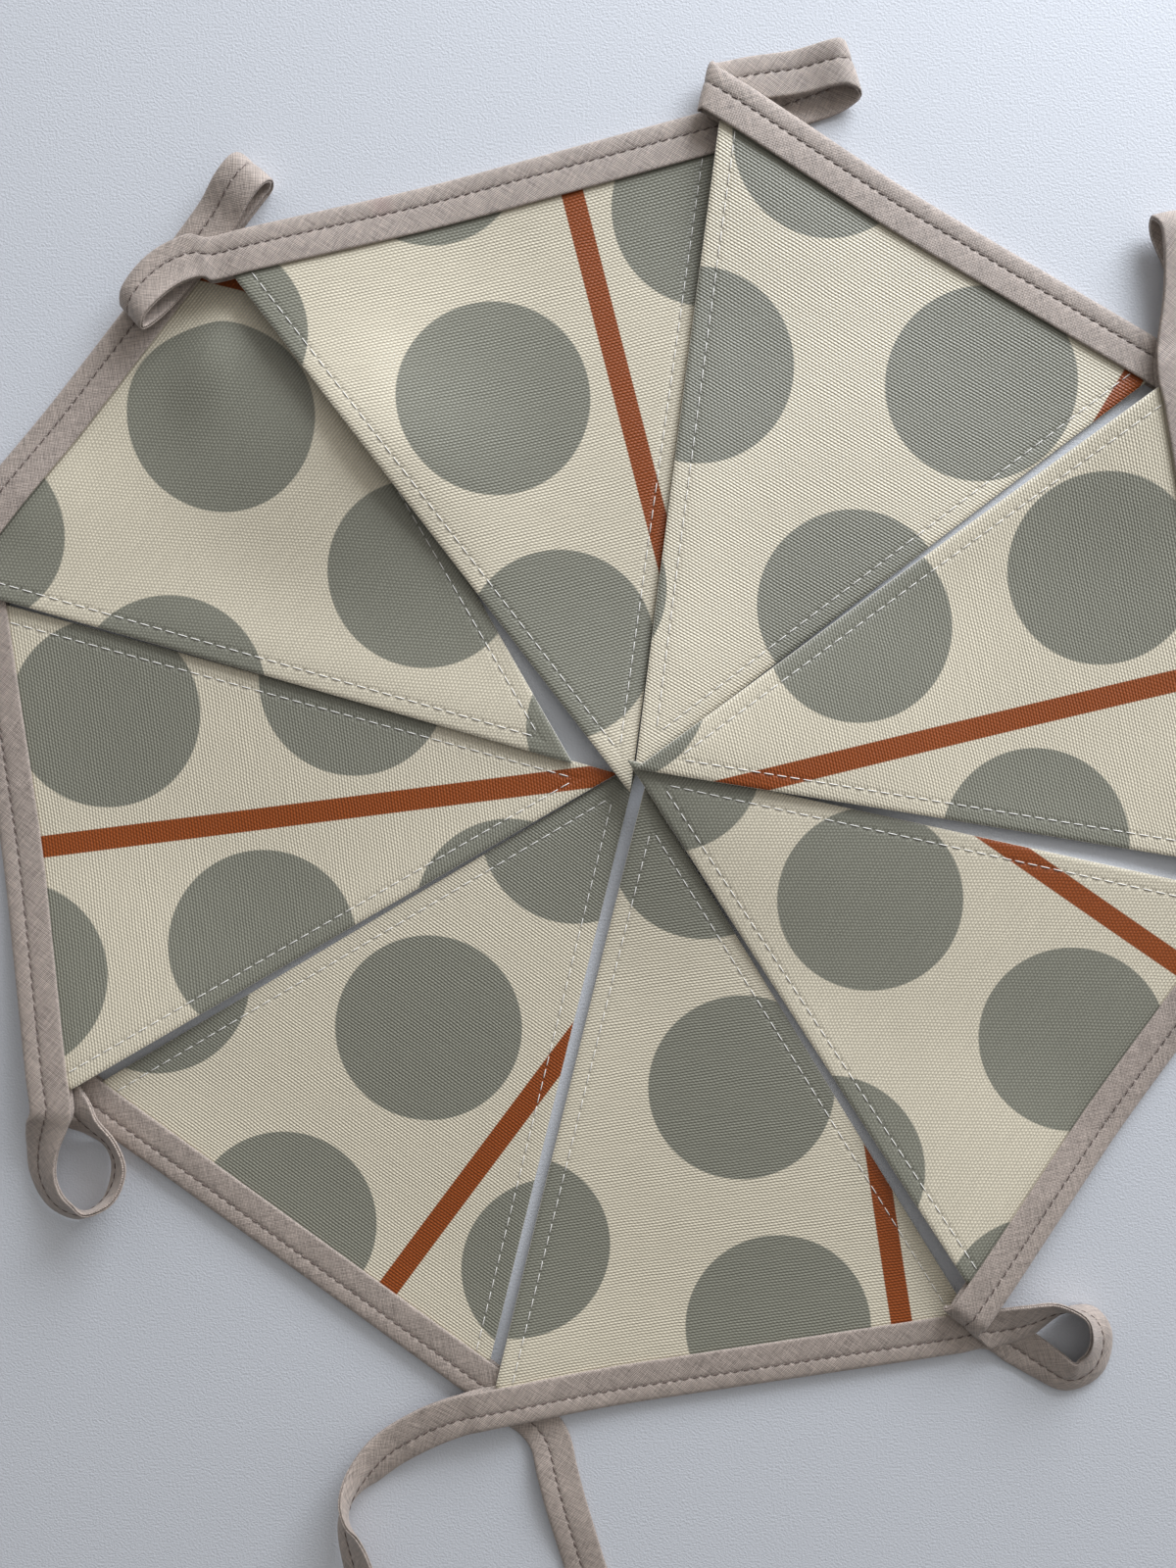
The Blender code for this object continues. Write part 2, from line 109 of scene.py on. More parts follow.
# The tape's route between two pennants: the middle of its width, and the direction from its open edge to its
# fold as a bearing and a tilt in degrees
Turn = namedtuple("Turn", "x y z bearing tilt")
LOOPS = {
    (7, 8): (
        Turn(-156.6, -87.8, 1.0, -127, 0),
        Turn(-163.0, -84.0, 0.9, -120, 0),
        Turn(-164.4, -83.9, 2.2, -117, 0),
        Turn(-163.0, -85.2, 3.5, -116, 0),
        Turn(-157.8, -91.6, 4.1, -122, -2),
        Turn(-152.6, -97.4, 4.9, -131, -12),
        Turn(-147.8, -101.6, 5.8, -138, -40),
        Turn(-142.4, -106.6, 5.7, -154, -50),
        Turn(-139.8, -113.4, 5.8, -178, -52),
        Turn(-141.6, -121.0, 6.4, 160, -64),
        Turn(-146.6, -126.2, 7.0, -110, -84),
        Turn(-152.8, -127.6, 5.7, -103, -50),
        Turn(-159.4, -124.2, 4.7, -138, -38),
        Turn(-162.8, -116.6, 4.7, -168, -32),
        Turn(-162.3, -108.0, 5.6, -178, -24),
        Turn(-160.2, -101.4, 7.2, -176, -10),
    ),
    (8, 1): (
        Turn(-179.4, 66.0, 0.85, -173, 0),
        Turn(-181.0, 78.0, 0.95, -172, 0),
        Turn(-182.8, 88.0, 1.2, -170, 0),
        Turn(-186.8, 97.0, 4.0, -150, -28),
        Turn(-194.8, 102.4, 6.5, -108, -68),
        Turn(-204.8, 98.6, 6.6, -54, -76),
        Turn(-210.4, 87.5, 6.6, -4, -76),
        Turn(-210.4, 74.5, 6.6, 16, -75),
        Turn(-206.2, 65.0, 6.4, 40, -68),
        Turn(-200.2, 58.6, 6.0, 76, -48),
    ),
    (1, 2): (
        Turn(-96.6, 176.2, 1.8, 141, 0),
        Turn(-95.6, 177.4, 4.6, 140, 0),
        Turn(-97.4, 175.4, 7.3, 140, 0),
        Turn(-101.6, 170.4, 7.2, 140, 0),
        Turn(-106.2, 164.2, 5.0, 141, 0),
        Turn(-111.4, 157.6, 4.4, 142, 0),
        Turn(-118.0, 149.4, 4.4, 141, -3),
        Turn(-126.0, 139.6, 5.0, 138, -14),
        Turn(-130.6, 134.4, 7.2, 134, -24),
        Turn(-129.0, 138.4, 9.8, 133, -18),
        Turn(-121.6, 146.4, 9.2, 130, -6),
        Turn(-113.2, 150.8, 8.2, 118, 0),
    ),
    (2, 3): (
        Turn(48.0, 192.2, 1.0, 106, 0),
        Turn(60.0, 196.4, 0.8, 112, 0),
        Turn(71.4, 200.4, 1.6, 110, 4),
        Turn(75.5, 204.6, 4.0, 112, 6),
        Turn(72.0, 205.6, 6.4, 108, 4),
        Turn(60.0, 203.8, 4.2, 105, 0),
        Turn(47.0, 202.4, 3.5, 101, 0),
        Turn(37.0, 200.2, 3.9, 86, 0),
        Turn(33.8, 199.0, 5.8, 76, 0),
    ),
    (3, 4): (
        Turn(176.0, 117.2, 1.0, 56, 0),
        Turn(184.0, 112.6, 0.8, 44, 0),
        Turn(185.2, 112.6, 1.7, 36, 0),
        Turn(184.4, 114.0, 2.6, 30, 0),
        Turn(180.5, 128.0, 3.1, 14, 0),
        Turn(173.5, 149.0, 2.3, 10, 0),
        Turn(168.2, 160.6, 2.8, 10, 0),
        Turn(167.4, 163.8, 5.4, 12, 0),
        Turn(169.4, 159.6, 7.6, 13, 0),
        Turn(170.8, 142.0, 6.6, 13, 0),
    ),
    (4, 5): (
        Turn(207.6, -34.8, 4.8, 18, -10),
        Turn(212.6, -42.0, 5.8, 40, -46),
        Turn(220.0, -45.6, 6.6, 80, -74),
        Turn(229.5, -42.0, 6.8, 130, -76),
        Turn(235.4, -31.0, 6.8, 180, -76),
        Turn(233.0, -18.0, 6.8, 228, -76),
        Turn(225.6, -11.0, 5.6, 266, -52),
        Turn(218.4, -12.4, 2.6, 294, -16),
        Turn(212.4, -18.4, 1.0, 312, 0),
        Turn(206.2, -26.4, 1.0, 322, 0),
    ),
    (5, 6): (
        Turn(113.0, -158.6, 7.4, -36, 0),
        Turn(111.6, -160.6, 5.9, -38, 0),
        Turn(113.0, -161.6, 4.3, -48, 0),
        Turn(118.6, -163.4, 3.9, -66, -2),
        Turn(125.4, -162.2, 4.8, -72, -12),
        Turn(132.2, -159.6, 6.4, -74, -24),
        Turn(139.4, -157.0, 6.2, -75, -46),
        Turn(145.6, -156.8, 7.0, -80, -78),
        Turn(151.0, -160.4, 6.0, 30, -58),
        Turn(153.6, -167.4, 4.4, 14, -34),
        Turn(151.4, -175.2, 3.6, -38, -26),
        Turn(145.2, -178.6, 3.5, -92, -26),
        Turn(138.4, -175.2, 2.7, -118, -18),
        Turn(130.6, -170.4, 1.2, -104, -3),
    ),
}

# The two free ties, each from its pennant to its cut end
TIE_FROM_6 = (
    Turn(-40.5, -190.8, 5.0, -76, 0),
    Turn(-50.5, -195.4, 4.2, -66, 0),
    Turn(-60.8, -202.0, 3.6, -54, -8),
    Turn(-67.4, -208.6, 4.4, -44, -30),
    Turn(-71.0, -213.8, 6.4, -30, -62),
    Turn(-72.4, -218.8, 7.0, -150, -84),
    Turn(-72.6, -224.4, 5.8, -174, -54),
    Turn(-71.4, -231.6, 4.7, -168, -38),
    Turn(-69.4, -240.0, 4.0, -165, -30),
    Turn(-67.0, -252.0, 2.0, -167, -10),
    Turn(-66.0, -268.0, 0.9, -174, 0),
    Turn(-67.0, -300.0, 0.9, 174, 0),
    Turn(-73.0, -335.0, 0.8, 166, 0),
    Turn(-84.0, -368.0, 0.8, 162, 0),
)
TIE_FROM_7 = (
    Turn(-22.6, -189.4, 0.8, -129, 0),
    Turn(-16.4, -193.8, 0.8, -140, 0),
    Turn(-11.6, -200.0, 1.3, -158, 4),
    Turn(-9.4, -209.0, 1.9, -172, 10),
    Turn(-6.6, -220.0, 1.8, -168, 9),
    Turn(-1.4, -238.0, 0.9, -163, 0),
    Turn(6.0, -262.0, 0.9, -164, 0),
    Turn(13.0, -295.0, 0.8, -172, 0),
    Turn(14.0, -330.0, 0.8, 176, 0),
    Turn(9.0, -362.0, 0.8, 168, 0),
)

Station = namedtuple("Station", "centre width half_slot")


# Swells that the solids leave out: the raised left edge of pennant 2, and the hump of pennant 1 beside its tape
Swell = namedtuple("Swell", "side inwards down high wide long")
SWELLS = {
    FLAGS[1]: (Swell(1, 34, 17, 2.4, 15, 9),),
    FLAGS[2]: (Swell(-1, 0, 48, 3.8, 26, 30),),
}
# Pennant 1's right corner is tucked in under the tape's curl, by this share of its half width at the tape
TUCKS = {FLAGS[1]: 0.11}
TUCK_DOWN = 12


def direction(degrees, tilt=0.0):
    """Unit vector at a bearing from +X and a tilt above the table."""
    a = math.radians(degrees)
    b = math.radians(tilt)
    return np.array([math.cos(a) * math.cos(b), math.sin(a) * math.cos(b), math.sin(b)])


def unit(vector):
    return vector / np.linalg.norm(vector)


def row_frame(point):
    """A point of the tables, in metres and measured from the origin."""
    return ((point[0] - MIDDLE_X) * MM, (point[1] - MIDDLE_Y) * MM, point[2] * MM)


def corners(flag):
    """(tip, left, right) of a pennant in plan, its top corners being at the tape's open edge."""
    tip = np.array([flag.tip_x, flag.tip_y])
    middle = tip + direction(flag.bearing)[:2] * FLAG_DROP
    along = direction(flag.bearing - 90)[:2]
    return tip, middle - along * FLAG_BASE / 2, middle + along * (FLAG_BASE / 2 - flag.right_in)


def plan(flag, across, down):
    """The place in plan of a point across and down a pennant from the middle of its open-edge line."""
    tip, left, right = corners(flag)
    middle = (left + right) / 2
    half = (right - left) / 2
    return middle + half * across / (FLAG_BASE / 2) + (tip - middle) * down / FLAG_DROP


def tree_of(node):
    """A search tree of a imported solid's surface."""
    mesh = node.data
    return BVHTree.FromPolygons([v.co for v in mesh.vertices], [tuple(p.vertices) for p in mesh.polygons])


def middle_height(tree, x, y):
    """Height in millimetres halfway through a laid solid at a point in plan."""
    px, py, _ = row_frame((x, y, 0))
    top = tree.ray_cast(Vector((px, py, 0.1)), Vector((0, 0, -1)))[0]
    under = tree.ray_cast(Vector((px, py, -0.1)), Vector((0, 0, 1)))[0]
    if top is None:
        return tree.find_nearest(Vector((px, py, 0.003)))[0].z / MM
    return (top.z + under.z) / 2 / MM


def fine_lattice():
    """(row, place, across, down) of each point of a pennant's fine lattice, row 0 lying inside the tape."""
    for row in range(FINE_ROWS + 1):
        down = row * FINE_DEPTH - ROW_DEPTH
        half = (FINE_ROWS - row) / FINE_ROWS * TOP_HALF
        if down < 0:
            half = FLAG_BASE / 2 + CORNER_TRIM * down
        for place in range(FINE_ROWS - row + 1):
            yield row, place, half * (2 * place / max(FINE_ROWS - row, 1) - 1), down


LATTICE = list(fine_lattice())
INDEX = {(row, place): n for n, (row, place, _, _) in enumerate(LATTICE)}
AROUND = ((0, 1), (0, -1), (1, 0), (-1, 0), (1, -1), (-1, 1))
NEAR = np.array([[INDEX.get((r + i, p + j), n) for i, j in AROUND] for n, (r, p, _, _) in enumerate(LATTICE)])


def laid_lattice(flag, tree):
    """A pennant's fine lattice points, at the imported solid's heights eased into smooth folds."""
    points = np.empty((len(LATTICE), 3))
    for n, (_, _, across, down) in enumerate(LATTICE):
        if across > 0 and down < TUCK_DOWN:
            across *= 1 - TUCKS.get(flag, 0) * (1 - down / TUCK_DOWN)
        points[n, :2] = plan(flag, across, down)
        inner = plan(flag, across * 0.985, down + (0.4 if down < 0 else -1.0 if down > FLAG_DROP - 3 else 0))
        points[n, 2] = middle_height(tree, *inner)
    for _ in range(SETTLING_PASSES):
        points[:, 2] = (points[:, 2] + points[NEAR, 2].mean(axis=1)) / 2
    for n, (_, _, across, down) in enumerate(LATTICE):
        points[n, 2] += sum(height_of(swell, across, down) for swell in SWELLS.get(flag, ()))
    return points


def height_of(swell, across, down):
    """How high a soft swell lifts the cloth at a point across and down its pennant."""
    inwards = (FLAG_BASE / 2 * (1 - down / FLAG_DROP) - swell.side * across) * EDGE_SLANT
    apart = ((inwards - swell.inwards) / swell.wide) ** 2 + ((down - swell.down) / swell.long) ** 2
    return swell.high * math.exp(-apart)


def outline():
    """The lattice points round a pennant's edge, anticlockwise seen from above."""
    top = [INDEX[0, p] for p in range(FINE_ROWS, -1, -1)]
    left = [INDEX[r, 0] for r in range(1, FINE_ROWS + 1)]
    right = [INDEX[r, FINE_ROWS - r] for r in range(FINE_ROWS - 1, 0, -1)]
    return top + left + right


def make_pennant(number, tree):
    """A pennant as two layers of cloth pressed together: its face, its back, and raw edges with a fine notch
    between the layers. The map cloth holds millimetres across and down, and print the same on the printed cloth."""
    flag = FLAGS[number]
    points = laid_lattice(flag, tree)
    up = np.zeros_like(points)
    faces = []
    for (row, place), n in INDEX.items():
        right, below = INDEX.get((row, place + 1)), INDEX.get((row + 1, place))
        below_left = INDEX.get((row + 1, place - 1))
        if right is not None and below is not None:
            faces.append((n, below, right))
        if below is not None and below_left is not None:
            faces.append((n, below_left, below))
    for face in faces:
        a, b, c = points[list(face)]
        up[list(face)] += np.cross(b - a, c - a)
    up /= np.linalg.norm(up, axis=1)[:, None]
    edge = outline()
    rim = points[edge]
    ahead = np.roll(rim, -1, axis=0) - np.roll(rim, 1, axis=0)
    out = np.cross(ahead, up[edge])
    out /= np.linalg.norm(out, axis=1)[:, None]
    half = FLAG_THICKNESS / 2
    sheet = bmesh.new()
    face_points = [sheet.verts.new(row_frame(p)) for p in points + up * half]
    back_points = [sheet.verts.new(row_frame(p)) for p in points - up * half]
    rings = [[face_points[n] for n in edge]]
    for inwards, height in ((-0.1, 0.4), (LAYER_NOTCH, 0.0), (-0.1, -0.4)):
        rings.append([sheet.verts.new(row_frame(p)) for p in rim - out * inwards + up[edge] * height])
    rings.append([back_points[n] for n in edge])
    cloth = sheet.loops.layers.uv.new("cloth")
    printed = sheet.loops.layers.uv.new("print")
    place_of = {}
    for n, (_, _, across, down) in enumerate(LATTICE):
        place_of[face_points[n]] = place_of[back_points[n]] = (across, down)
    for ring in rings[1:-1]:
        for vertex, n in zip(ring, edge):
            place_of[vertex] = LATTICE[n][2:]
    for a, b, c in faces:
        sheet.faces.new((face_points[a], face_points[b], face_points[c]))
        sheet.faces.new((back_points[c], back_points[b], back_points[a]))
    for ring, following in zip(rings, rings[1:]):
        for n in range(len(edge)):
            m = (n + 1) % len(edge)
            sheet.faces.new((ring[n], following[n], following[m], ring[m])).material_index = 1
    for face in sheet.faces:
        face.smooth = True
        for loop in face.loops:
            across, down = place_of[loop.vert]
            loop[cloth].uv = (across, down)
            loop[printed].uv = (flag.turned * across + flag.print_across, flag.turned * down + flag.print_down)
    return finished(sheet, f"pennant_{number}")


def finished(sheet, name):
    """The mesh as an object at the origin."""
    mesh = bpy.data.meshes.new(name)
    sheet.to_mesh(mesh)
    sheet.free()
    made = bpy.data.objects.new(name, mesh)
    bpy.context.scene.collection.objects.link(made)
    return made


def flag_knots(flag, tree):
    """(middle of the tape's width, direction to its fold) at places along a pennant, left to right."""
    knots = []
    for n in range(CAD_ROWS + 1):
        across = (2 * n - CAD_ROWS) / CAD_ROWS * TOP_HALF
        edge = plan(flag, across, 0)
        inner = plan(flag, across, -ROW_DEPTH)
        within = 0.985 * across
        low = np.array([*edge, middle_height(tree, *plan(flag, min(max(within, -71.4), 71.4), 0.2))])
        high = np.array([*inner, middle_height(tree, *plan(flag, within, -ROW_DEPTH + 0.5))])
        width = unit(high - low)
        knots.append((low + width * TAPE_WIDTH / 2, width))
    return knots


def tape_stations(trees):
    """Stations close together along the whole tape, on one smooth curve through its knots, with the slot open
    along each pennant and closing past its corners."""
    knots = [(np.array([t.x, t.y, t.z]), direction(t.bearing, t.tilt)) for t in TIE_FROM_7[::-1]]
    held = []
    for number, following in zip(TAPE_ORDER, TAPE_ORDER[1:] + (None,)):
        start = len(knots)
        knots += flag_knots(FLAGS[number], trees[number])
        held.append((start, len(knots) - 1))
        turns = LOOPS[number, following] if following else TIE_FROM_6
        knots += [(np.array([t.x, t.y, t.z]), direction(t.bearing, t.tilt)) for t in turns]
    values = np.array([np.concatenate(knot) for knot in knots])
    spans = np.linalg.norm(np.diff(values[:, :3], axis=0), axis=1)
    times = np.concatenate([[0], np.cumsum(np.sqrt(spans))])
    slopes = np.gradient(values, axis=0)
    for n in range(len(values)):
        a, b = max(n - 1, 0), min(n + 1, len(values) - 1)
        slopes[n] = (values[b] - values[a]) / (times[b] - times[a])
    rows = []
    knot_rows = [0]
    for n in range(len(values) - 1):
        span = times[n + 1] - times[n]
        steps = max(2, math.ceil(spans[n] / TAPE_STEP))
        for step in range(steps):
            t = step / steps
            rows.append(
                (2 * t**3 - 3 * t**2 + 1) * values[n]
                + (t**3 - 2 * t**2 + t) * span * slopes[n]
                + (3 * t**2 - 2 * t**3) * values[n + 1]
                + (t**3 - t**2) * span * slopes[n + 1]
            )
        knot_rows.append(len(rows))
    rows.append(values[-1])
    rows = np.array(rows)
    lengths = np.concatenate([[0], np.cumsum(np.linalg.norm(np.diff(rows[:, :3], axis=0), axis=1))])
    away = np.full(len(rows), np.inf)
    for first, last in held:
        low, high = lengths[knot_rows[first]], lengths[knot_rows[last]]
        away = np.minimum(away, np.maximum(0, np.maximum(low - lengths, lengths - high)))
    closed = np.clip((away - SLOT_STAYS) / SLOT_CLOSES, 0, 1)
    closed = closed * closed * (3 - 2 * closed)
    slots = SLOT_ON_FLAG + (SLOT_IN_LOOP - SLOT_ON_FLAG) * closed
    stations = [Station(row[:3], unit(row[3:]), slot / 2) for row, slot in zip(rows, slots)]
    return stations, lengths


# The tape's upper half section from its open edge to its fold: across, and the wall's outer height over the slot
SECTION = (
    (0.0, 0.30),
    (0.18, 0.46),
    (0.8, 0.50),
    (2.6, 0.56),
    (5.0, 0.56),
    (6.4, 0.48),
    (6.9, 0.36),
    (7.3, 0.36),
    (7.8, 0.48),
    (9.2, 0.56),
    (10.8, 0.54),
)
NOSE = ((11.7, 0.86), (12.2, 0.55), (12.5, 0.0), (12.2, -0.55), (11.7, -0.86))


def section_of(half_slot):
    """(across, up, girth) round the folded tape's outside and back through its slot. girth is the distance on the
    flat cloth from one open edge, for the map."""
    outer = [(a, half_slot + h, a) for a, h in SECTION]
    crown = half_slot + 0.5
    nose = [(a, share * crown, 12.5 + (12.5 - a) * (1 if share < 0 else -1)) for a, share in NOSE]
    back = [(a, -u, 25.0 - a) for a, u, _ in outer[::-1]]
    inside = ((0.0, -half_slot, 25.0), (SLOT_DEPTH, -half_slot, 37.0), (SLOT_DEPTH, half_slot, 38.0), (0.0, half_slot, 50.0))
    return outer + nose + back + list(inside)


def frames_of(stations):
    """(open edge, width, up) at each station, the width lengthened where the tape runs askew."""
    places = np.array([s.centre for s in stations])
    for n, station in enumerate(stations):
        ahead = unit(places[min(n + 1, len(places) - 1)] - places[max(n - 1, 0)])
        up = np.cross(ahead, station.width)
        width = station.width / max(np.linalg.norm(up), LEAST_SQUARENESS)
        yield station.centre - width * TAPE_WIDTH / 2, width, unit(up)


def make_tape(stations, lengths):
    """The folded binding, lofted from station to station, with both cut ends closed."""
    loft = bmesh.new()
    cloth = loft.loops.layers.uv.new("cloth")
    rings = []
    for station, (edge, width, up) in zip(stations, frames_of(stations)):
        section = section_of(station.half_slot)
        rings.append([loft.verts.new(row_frame(edge + width * a + up * u)) for a, u, _ in section])
    across = [a for a, _, _ in section_of(0.3)]
    girths = [g for _, _, g in section_of(0.3)]
    sides = len(girths)
    for n, (ring, following) in enumerate(zip(rings, rings[1:])):
        for k in range(sides):
            m = (k + 1) % sides
            girth = girths[m] if m else 50.3
            if across[k] < across[m]:
                halves = (((ring, k, 0), (ring, m, 0), (following, m, 1)), ((ring, k, 0), (following, m, 1), (following, k, 1)))
            else:
                halves = (((ring, k, 0), (ring, m, 0), (following, k, 1)), ((ring, m, 0), (following, m, 1), (following, k, 1)))
            for half in halves:
                face = loft.faces.new([which[place] for which, place, _ in half])
                face.smooth = True
                for loop, (_, place, step) in zip(face.loops, half):
                    loop[cloth].uv = (lengths[n + step], girth if place == m else girths[k])
    for ring, length in ((rings[0], lengths[0]), (rings[-1][::-1], lengths[-1])):
        face = loft.faces.new(ring)
        for loop in face.loops:
            loop[cloth].uv = (length, 0)
    bmesh.ops.recalc_face_normals(loft, faces=loft.faces)
    return finished(loft, "folded_binding")


# Thread: each stitch is a short arc whose ends go into the cloth
def add_stitch(sheet, start, end, out, rise):
    """One stitch as a closed six-sided arc from start to end, in metres, on the cloth whose normal is out."""
    side = unit(np.cross(out, end - start)) * THREAD_RADIUS * MM
    rings = []
    for share, height, girth in STITCH_ARC:
        middle = start + (end - start) * share + out * rise * height * MM
        ring = []
        for n in range(STITCH_SIDES):
            turn = 2 * math.pi * n / STITCH_SIDES
            round_it = side * math.cos(turn) + out * THREAD_RADIUS * MM * math.sin(turn)
            ring.append(sheet.verts.new(middle + round_it * girth))
        rings.append(ring)
    for ring, following in zip(rings, rings[1:]):
        for n in range(STITCH_SIDES):
            m = (n + 1) % STITCH_SIDES
            sheet.faces.new((ring[n], ring[m], following[m], following[n])).smooth = True
    sheet.faces.new(rings[0][::-1])
    sheet.faces.new(rings[-1])


def make_flag_seams(number, pennant):
    """The white topstitching inside a pennant's slanted edges, on its face and its back, meeting over the tip."""
    flag = FLAGS[number]
    tree = tree_of(pennant)
    inside = SEAM_INSIDE / EDGE_SLANT
    tip_down = FLAG_DROP * (1 - inside / (FLAG_BASE / 2))
    seams = bmesh.new()
    for side in (-1, 1):
        for n in range(int(tip_down / EDGE_SLANT / FLAG_STITCH)):
            ends = []
            for down in (n * FLAG_STITCH * EDGE_SLANT, (n * FLAG_STITCH + FLAG_STITCH_LENGTH) * EDGE_SLANT):
                across = side * (FLAG_BASE / 2 * (1 - down / FLAG_DROP) - inside)
                ends.append(row_frame((*plan(flag, across, down), 0))[:2])
            for face in (1, -1):
                hits = [tree.ray_cast(Vector((x, y, 0.05 * face)), Vector((0, 0, -face))) for x, y in ends]
                if hits[0][0] is None or hits[1][0] is None:
                    continue
                start, end = [np.array(hit[0]) for hit in hits]
                add_stitch(seams, start, end, np.array(hits[0][1]), FLAG_STITCH_RISE)
    return finished(seams, f"pennant_topstitch_{number}")


def make_tape_seam(stations, lengths):
    """The tape's row of brown topstitching on both faces, over its loops and ties as well."""
    seam = bmesh.new()
    frames = list(frames_of(stations))
    lift = np.interp(SEAM_ON_TAPE, [a for a, _ in SECTION], [h for _, h in SECTION])
    for side in (1, -1):
        path = [e + w * SEAM_ON_TAPE + u * side * (s.half_slot + lift) for (e, w, u), s in zip(frames, stations)]
        path = np.array([row_frame(point) for point in path])
        normals = np.array([u * side for _, _, u in frames])
        for n in range(int((lengths[-1] - 2 * SEAM_START) / TAPE_STITCH)):
            first = SEAM_START + n * TAPE_STITCH
            places = (first, first + TAPE_STITCH_LENGTH)
            start, end = [np.array([np.interp(s, lengths, path[:, axis]) for axis in range(3)]) for s in places]
            out = unit(np.array([np.interp(first, lengths, normals[:, axis]) for axis in range(3)]))
            skew = unit(np.cross(out, end - start)) * STITCH_SKEW * MM
            add_stitch(seam, start - skew, end + skew, out, TAPE_STITCH_RISE)
    return finished(seam, "tape_topstitch")


class Socket:
    """An output among a material's nodes. Sums written with it add the Math nodes that work them out."""

    def __init__(self, tree, output):
        self.tree = tree
        self.output = output

    def add(self, kind, settings=(), inputs=(), output=0):
        """Another node: its settings are made first, then the values or links of its inputs."""
        node = self.tree.nodes.new(kind)
        for name, value in dict(settings).items():
            setattr(node, name, value)
        for name, value in dict(inputs).items():
            if isinstance(value, Socket):
                self.tree.links.new(value.output, node.inputs[name])
            else:
                node.inputs[name].default_value = value
        return Socket(self.tree, node.outputs[output])

    def beside(self, output):
        """Another output of the same node."""
        return Socket(self.tree, self.output.node.outputs[output])

    def maths(self, operation, *values):
        return self.add("ShaderNodeMath", {"operation": operation}, enumerate(values))

    def __add__(self, other):
        return self.maths("ADD", self, other)

    def __sub__(self, other):
        return self.maths("SUBTRACT", self, other)

    def __rsub__(self, other):
        return self.maths("SUBTRACT", other, self)

    def __mul__(self, other):
        return self.maths("MULTIPLY", self, other)

    def __truediv__(self, other):
        return self.maths("DIVIDE", self, other)

    __radd__ = __add__
    __rmul__ = __mul__

    def cosine(self, pitch):
        """A wave of the given pitch, from -1 to 1."""
        return self.maths("COSINE", self * (2 * math.pi / pitch))

    def size(self):
        return self.maths("ABSOLUTE", self)

    def least(self, other):
        return self.maths("MINIMUM", self, other)

    def most(self, other):
        return self.maths("MAXIMUM", self, other)

    def modulo(self, pitch):
        return self.maths("FLOORED_MODULO", self, pitch)

    def rise(self, low, high):
        """0 up to low and 1 from high on, or the other way round where high is the smaller."""
        settings = {"interpolation_type": "SMOOTHSTEP"}
        if low < high:
            return self.add("ShaderNodeMapRange", settings, {"Value": self, "From Min": low, "From Max": high})
        return 1 - self.rise(high, low)

    def over(self, under, colour):
        """colour laid over under as far as this value says."""
        settings = {"data_type": "RGBA"}
        return self.add("ShaderNodeMix", settings, {0: self, 6: under, 7: colour}, 2)

    def tinted(self, shade):
        """This colour made lighter or darker by a value."""
        tint = self.add("ShaderNodeCombineColor", (), {0: shade, 1: shade, 2: shade})
        return self.add("ShaderNodeMix", {"data_type": "RGBA", "blend_type": "MULTIPLY"}, {0: 1.0, 6: self, 7: tint}, 2)

    def noise(self, scale, detail=2.0, roughness=0.5):
        """Soft random variation round 0.5 over this vector."""
        inputs = {"Vector": self, "Scale": scale, "Detail": detail, "Roughness": roughness}
        return self.add("ShaderNodeTexNoise", (), inputs)


def colour(red, green, blue):
    return (red, green, blue, 1.0)


def new_finish(name):
    """A new material, its tree and its shader."""
    finish = bpy.data.materials.new(name)
    finish.use_nodes = True
    shader = finish.node_tree.nodes["Principled BSDF"]
    return finish, Socket(finish.node_tree, shader.outputs[0]), shader


def finish_with(start, shader, base=None, roughness=None, height=None, bump=1.0):
    """Link a colour, a roughness and a height in millimetres to a shader."""
    links = start.tree.links
    if base is not None:
        links.new(base.output, shader.inputs["Base Color"])
    if roughness is not None:
        links.new(roughness.output, shader.inputs["Roughness"])
    if height is not None:
        relief = start.add("ShaderNodeBump", (), {"Strength": bump, "Distance": MM, "Height": height})
        links.new(relief.output, shader.inputs["Normal"])


def mapped(start, name):
    """(first, second) coordinates in millimetres of one of a piece's cloth maps, and the map itself."""
    place = start.add("ShaderNodeUVMap", {"uv_map": name})
    first = start.add("ShaderNodeSeparateXYZ", (), {0: place})
    return first, first.beside("Y"), place


CREAM = colour(0.72, 0.655, 0.51)
GREY_GREEN = colour(0.255, 0.252, 0.20)
RUST = colour(0.30, 0.062, 0.003)
RIB = 0.87
BEAD = 1.19
DISC_RADIUS = 28.0
PRINT_STEP = 74.0
STRIPE_HALF = 3.25


def printed_design(start):
    """The cloth's print: grey-green discs in staggered columns, with a rust stripe between every second pair."""
    across, down, _ = mapped(start, "print")
    column = across.maths("FLOOR", across / PRINT_STEP)
    x = across - (column + 0.5) * PRINT_STEP
    y = (down + column.modulo(2) * (PRINT_STEP / 2)).modulo(PRINT_STEP) - PRINT_STEP / 2
    reach = x.maths("SQRT", x * x + y * y)
    disc = reach.rise(DISC_RADIUS + 0.25, DISC_RADIUS - 0.25)
    stripe = (across.modulo(2 * PRINT_STEP) - PRINT_STEP).size().rise(STRIPE_HALF + 0.2, STRIPE_HALF - 0.2)
    return stripe.over(disc.over(CREAM, GREY_GREEN), RUST)


